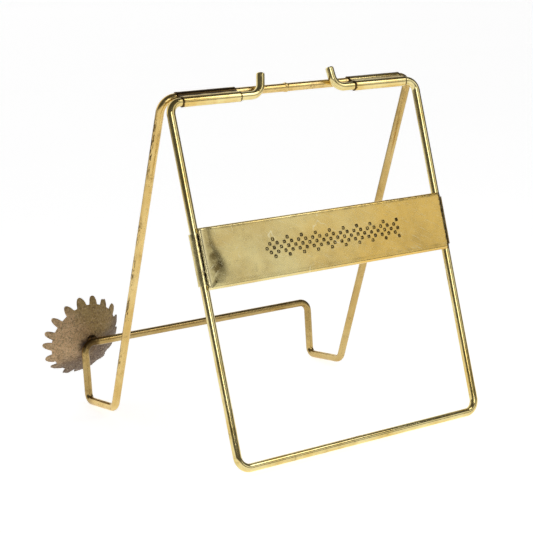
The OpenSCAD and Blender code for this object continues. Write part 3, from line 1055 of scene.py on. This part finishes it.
def bronze_material():
    """Rough brown patinated bronze: tan and olive areas, dark speckles and pits, painted purple-grey shade
    on the lower right, painted glints, and a dark patch of painted shadow and scorch by the wire corner.
    """
    s = Shader("cap_patina")
    s.into("Metallic", s.fit(s.noise(150, 4), 0.35, 0.65, 0.35, 0.65))
    tone = s.fit(s.noise(150, 5, 0.6), 0.38, 0.62)
    base = s.mix(tone, rgb(206, 170, 122), rgb(176, 142, 96))
    base = s.mix(s.times(s.attribute("tan"), 0.75), base, rgb(242, 208, 162))
    base = s.mix(s.times(s.attribute("olive"), 0.8), base, rgb(192, 164, 106))
    # Painted shade: the lower right of the dome, facing away from the light, turns purple-grey
    base = s.mix(s.times(s.attribute("violet_shade"), 0.85), base, rgb(116, 100, 90))
    speckle = s.fit(s.noise(800, 5, 0.70, distortion=1.6), 0.46, 0.62)
    base = s.mix(s.times(speckle, 0.60), base, rgb(104, 78, 52))
    # Painted highlights: small light glints scattered over the pebbled surface
    light = s.fit(s.noise(1.0, 5, 0.7, s.stretched((0.6, 0.6, 0.6), (30, 10, 0), (3, 1, 2))), 0.53, 0.66)
    base = s.mix(s.times(light, 0.60), base, rgb(250, 226, 186))
    pits = s.fit(s.spots(800), 0.20, 0.08)
    base = s.mix(s.times(pits, 0.4), base, rgb(50, 34, 20))
    # Painted shadow of the wire corner on the dome, partly scorch from the soldering
    base = s.mix(s.attribute("scorch_and_shadow"), base, rgb(62, 38, 16))
    s.into("Base Color", base)
    s.into("Roughness", s.fit(s.noise(600, 6, 0.7), 0.3, 0.7, 0.42, 0.66))
    height = s.plus(s.noise(900, 8, 0.75), s.times(s.noise(2600, 5, 0.7), 0.35))
    height = s.maths("SUBTRACT", height, s.times(pits, 0.4))
    s.bump(height, 1.0, 0.0014)
    return s.material


def burnt_material():
    """Solder blackened by the torch, with brassy glints."""
    s = Shader("burnt_solder", metallic=0.85)
    crust = s.fit(s.noise(700, 7, 0.7), 0.42, 0.66)
    base = s.mix(crust, rgb(44, 30, 16), rgb(128, 96, 50))
    s.into("Base Color", base)
    s.into("Roughness", s.fit(s.noise(900, 5), 0.3, 0.7, 0.35, 0.6))
    s.bump(s.noise(800, 8, 0.7), 0.8, 0.0004)
    return s.material


# ---------------------------------------------------------------- stage

def build_floor():
    """A huge plain white floor that stays white far away and takes soft shadows near the stand."""
    half = 60.0
    verts = [(-half, -half, 0), (half, -half, 0), (half, half, 0), (-half, half, 0)]
    floor = make_mesh("floor", verts, [[0, 1, 2, 3]], smooth=False)
    floor.location.z = -0.0001
    s = Shader("floor_white", metallic=0.0)
    tint = s.fit(s.noise(3, 2), 0.3, 0.7)
    s.into("Base Color", s.mix(tint, (0.80, 0.80, 0.80, 1), (0.82, 0.82, 0.82, 1)))
    s.into("Roughness", 0.9)
    s.into("Emission Color", (1.0, 1.0, 1.0, 1))
    seen = s.add("ShaderNodeLightPath").outputs["Is Camera Ray"]
    glow = s.fit(s.distance_to((0, 0, 0)), 0.55, 0.95, FLOOR_GLOW, FLOOR_FAR)
    unseen = s.times(s.maths("SUBTRACT", 1.0, seen), glow)
    s.into("Emission Strength", s.plus(s.times(seen, FLOOR_SEEN), unseen))
    floor.data.materials.append(s.material)


def area_light(name, at, aim, size, energy):
    """A soft rectangular light at a point, turned toward another point, in metres."""
    light = bpy.data.lights.new(name, "AREA")
    light.shape = "RECTANGLE"
    light.size, light.size_y = size
    light.energy = energy
    lamp = bpy.data.objects.new(name, light)
    bpy.context.scene.collection.objects.link(lamp)
    lamp.location = at
    lamp.rotation_euler = (at - aim).to_track_quat("Z", "Y").to_euler()


def around(azimuth, elevation, distance):
    """A point round the stand; azimuth 0 is in front of it, positive to the right."""
    a, e = math.radians(azimuth), math.radians(elevation)
    away = Vector((math.sin(a) * math.cos(e), -math.cos(a) * math.cos(e), math.sin(e)))
    return (CAD_BOX[0] + CAD_BOX[1]) / 2 + away * distance


def build_light():
    """Two large soft lights in front, and a small one for the glints on the top bars."""
    middle = (CAD_BOX[0] + CAD_BOX[1]) / 2
    top = Vector((middle.x, middle.y - TOP_BAR_FORWARD, CAD_BOX[1].z))
    area_light("key", around(-15, 20, LIGHT_DISTANCE), middle, (0.5, 0.5), 1.9)
    area_light("front_right", around(36, 18, LIGHT_DISTANCE), middle, (0.75, 0.45), 0.78)
    area_light("top_strip", Vector(STRIP_AT), top, (0.13, 0.13), 0.12)
    build_sky()


def build_sky():
    """Studio walls: dim in front, brighter behind, dark overhead; plain white for the camera."""
    world = bpy.data.worlds.new("studio")
    bpy.context.scene.world = world
    world.use_nodes = True
    tree = world.node_tree
    split = tree.nodes.new("ShaderNodeSeparateXYZ")
    tree.links.new(tree.nodes.new("ShaderNodeTexCoord").outputs["Generated"], split.inputs[0])
    walls = sky_ramp(tree, split.outputs["Y"], 0.35, 0.85, SKY_FRONT, SKY_BACK)
    zenith = sky_ramp(tree, split.outputs["Z"], 0.70, 0.92, 1.0, SKY_TOP / SKY_FRONT)
    seen = tree.nodes.new("ShaderNodeLightPath").outputs["Is Camera Ray"]
    lit = sky_maths(tree, "MAXIMUM", seen, sky_maths(tree, "MULTIPLY", walls, zenith))
    back = tree.nodes["Background"]
    tree.links.new(lit, back.inputs["Strength"])
    back.inputs["Color"].default_value = (1, 1, 1, 1)


def sky_maths(tree, operation, a, b):
    """The result of one operation on two brightnesses."""
    node = tree.nodes.new("ShaderNodeMath")
    node.operation = operation
    tree.links.new(a, node.inputs[0])
    tree.links.new(b, node.inputs[1])
    return node.outputs["Value"]


def sky_ramp(tree, value, low, high, at_low, at_high):
    """Carries low..high of a direction smoothly onto two brightnesses."""
    ramp = tree.nodes.new("ShaderNodeMapRange")
    ramp.interpolation_type = "SMOOTHSTEP"
    tree.links.new(value, ramp.inputs["Value"])
    for key, number in (("From Min", low), ("From Max", high), ("To Min", at_low), ("To Max", at_high)):
        ramp.inputs[key].default_value = number
    return ramp.outputs["Result"]


def build_camera():
    """The camera: looks at a point near the middle of the stand, with a slight roll."""
    a, e, r = (math.radians(v) for v in (CAMERA_AZIMUTH, CAMERA_ELEVATION, CAMERA_ROLL))
    right = Vector((math.cos(a), math.sin(a), 0))
    back = Vector((math.sin(a) * math.cos(e), -math.cos(a) * math.cos(e), math.sin(e)))
    up = back.cross(right)
    rolled_right = math.cos(r) * right + math.sin(r) * up
    rolled_up = -math.sin(r) * right + math.cos(r) * up
    camera = bpy.data.cameras.new("camera")
    camera.lens = CAMERA_LENS
    camera.sensor_width = 36
    camera.clip_start = 0.01
    camera.clip_end = 200
    eye = bpy.data.objects.new("camera", camera)
    bpy.context.scene.collection.objects.link(eye)
    aim = (CAD_BOX[0] + CAD_BOX[1]) / 2 + Vector(CAMERA_AIM) * MM
    turn = Matrix((rolled_right, rolled_up, back)).transposed().to_4x4()
    eye.matrix_world = Matrix.Translation(aim + back * CAMERA_DISTANCE * MM) @ turn
    bpy.context.scene.camera = eye
    bpy.context.scene.view_settings.view_transform = "Standard"


# ---------------------------------------------------------------- the scene

def dress(node, material):
    """Gives a CAD node the same material in all its slots."""
    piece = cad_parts[node]
    if not piece.material_slots:
        piece.data.materials.append(material)
    for slot in piece.material_slots:
        slot.material = material


def brass_looks():
    """Colours and surface of the polished front wire, the duller bail and the thin sleeves."""
    front = {"clean": rgb(240, 224, 162), "deep": rgb(222, 194, 118), "dull": rgb(146, 130, 76),
             "pit": rgb(60, 46, 18),
             "dulling": 0.55, "rough": 0.11, "pitting": 0.38, "bump": 0.07, "rounding": 0.0}
    bail = {"clean": rgb(232, 204, 138), "deep": rgb(214, 180, 108), "dull": rgb(146, 122, 76),
            "pit": rgb(58, 42, 18), "darkening_colour": rgb(66, 46, 24),
            "dulling": 0.65, "rough": 0.22, "pitting": 0.50, "bump": 0.12, "rounding": 0.0}
    sleeve = {"clean": rgb(242, 222, 156), "deep": rgb(226, 192, 112), "dull": rgb(140, 116, 62),
              "pit": rgb(54, 40, 16), "darkening_colour": rgb(88, 68, 38),
              "dulling": 0.5, "rough": 0.10, "pitting": 0.36, "bump": 0.06, "rounding": FACET_ROUNDING}
    return front, bail, sleeve


def main():
    """Builds every piece with its material, then the stage."""
    front_look, bail_look, sleeve_look = brass_looks()
    bail_wire = brass("bail_wire_brass", bail_look, BAIL_LEAN, bail_stain(), bail_painted_shade())
    build_front_wire().data.materials.append(brass("front_wire_brass", front_look, FRONT_LEAN))
    build_bail_wire().data.materials.append(bail_wire)
    left, right = "left_hinge_sleeve", "right_hinge_sleeve"
    dress(left, brass("left_sleeve_brass", sleeve_look, 0.0, sleeve_darkening(left, 1.9, 4.35)))
    dress(right, brass("right_sleeve_brass", sleeve_look, 0.0, sleeve_darkening(right, 3.9, 5.2)))
    build_plate().data.materials.append(plate_material())
    build_cap().data.materials.append(bronze_material())
    braze = build_lump("braze_bead", "bail_braze", "bail", 0.75, 0.10)
    braze.data.materials.append(bail_wire)
    solder = build_lump("solder_bead", "cap_solder", "bail", 0.8, 0.12)
    solder.data.materials.append(burnt_material())
    build_floor()
    build_light()
    build_camera()


main()
